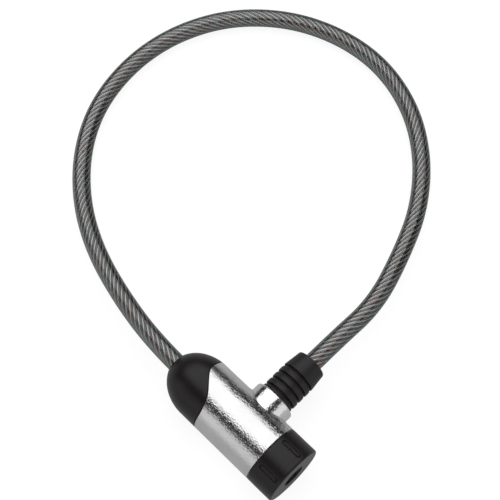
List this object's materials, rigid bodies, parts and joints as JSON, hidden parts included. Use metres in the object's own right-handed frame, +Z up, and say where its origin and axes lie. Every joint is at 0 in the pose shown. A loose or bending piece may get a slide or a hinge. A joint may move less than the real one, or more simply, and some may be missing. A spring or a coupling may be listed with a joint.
{
  "type": "key cable lock",
  "caption": "Key-operated bicycle cable lock: a steel cable loop in a clear jacket, fixed in a cylindrical lock head at one end and plugged into its side at the other.",
  "frame": {"origin": "on the plane that the lock lies on, straight below the point where the barrel's axis and the plug's axis cross", "axes": "+X along the barrel towards the key face, +Y along the plug out of its socket, +Z up"},
  "size_m": [0.2374, 0.2295, 0.033],
  "materials": {
    "sleeve_metal": "satin-bright drawn steel tube, fine grain",
    "collar_chrome": "polished chrome ring",
    "shell_plastic": "matte black moulded plastic",
    "boot_rubber": "matte black moulded rubber",
    "cable_pvc": "clear smoky PVC over the rope",
    "rope_steel": "galvanised steel strands",
    "body_zinc": "die-cast zinc alloy",
    "cylinder_brass": "machined brass",
    "hard_steel": "hardened and plated steel"
  },
  "bodies": {
    "head": {"outer_sleeve": "sleeve_metal", "nose_dome": "shell_plastic", "key_end_cap": "shell_plastic", "socket_collar": "collar_chrome", "lock_body": "body_zinc", "cable_anchor_ferrule": "hard_steel", "anchor_cross_pin": "hard_steel", "body_set_screw": "hard_steel", "cylinder_housing": "cylinder_brass", "cylinder_retaining_pin": "hard_steel", "rotor_clip": "hard_steel", "cable_jacket": "cable_pvc", "wire_rope": "rope_steel"},
    "key_core": {"key_rotor": "cylinder_brass", "drive_cam": "hard_steel", "tumbler_discs": "cylinder_brass", "disc_spacers": "cylinder_brass", "sidebar": "hard_steel"},
    "latch": {"latch_plate": "hard_steel"},
    "plug": {"plug_pin": "hard_steel", "plug_ferrule": "hard_steel", "ferrule_cross_pin": "hard_steel", "plug_boot": "boot_rubber"}
  },
  "joints": [
    {"name": "key_turn", "type": "hinge", "parent": "head", "child": "key_core", "pos_m": [0.02, 0, 0.0165], "axis": [1, 0, 0], "range_deg": [0, 90]},
    {"name": "latch_slide", "type": "slide", "parent": "head", "child": "latch", "axis": [0, 0, 1], "range_m": [0, 0.00425]},
    {"name": "plug_pull", "type": "slide", "parent": "head", "child": "plug", "axis": [0, 1, 0], "range_m": [0, 0.034], "deforming": ["cable_jacket", "wire_rope"]}
  ],
  "couplings": [
    {"joint": "latch_slide", "follows": "key_turn", "m_per_rad": 0.0027}
  ]
}
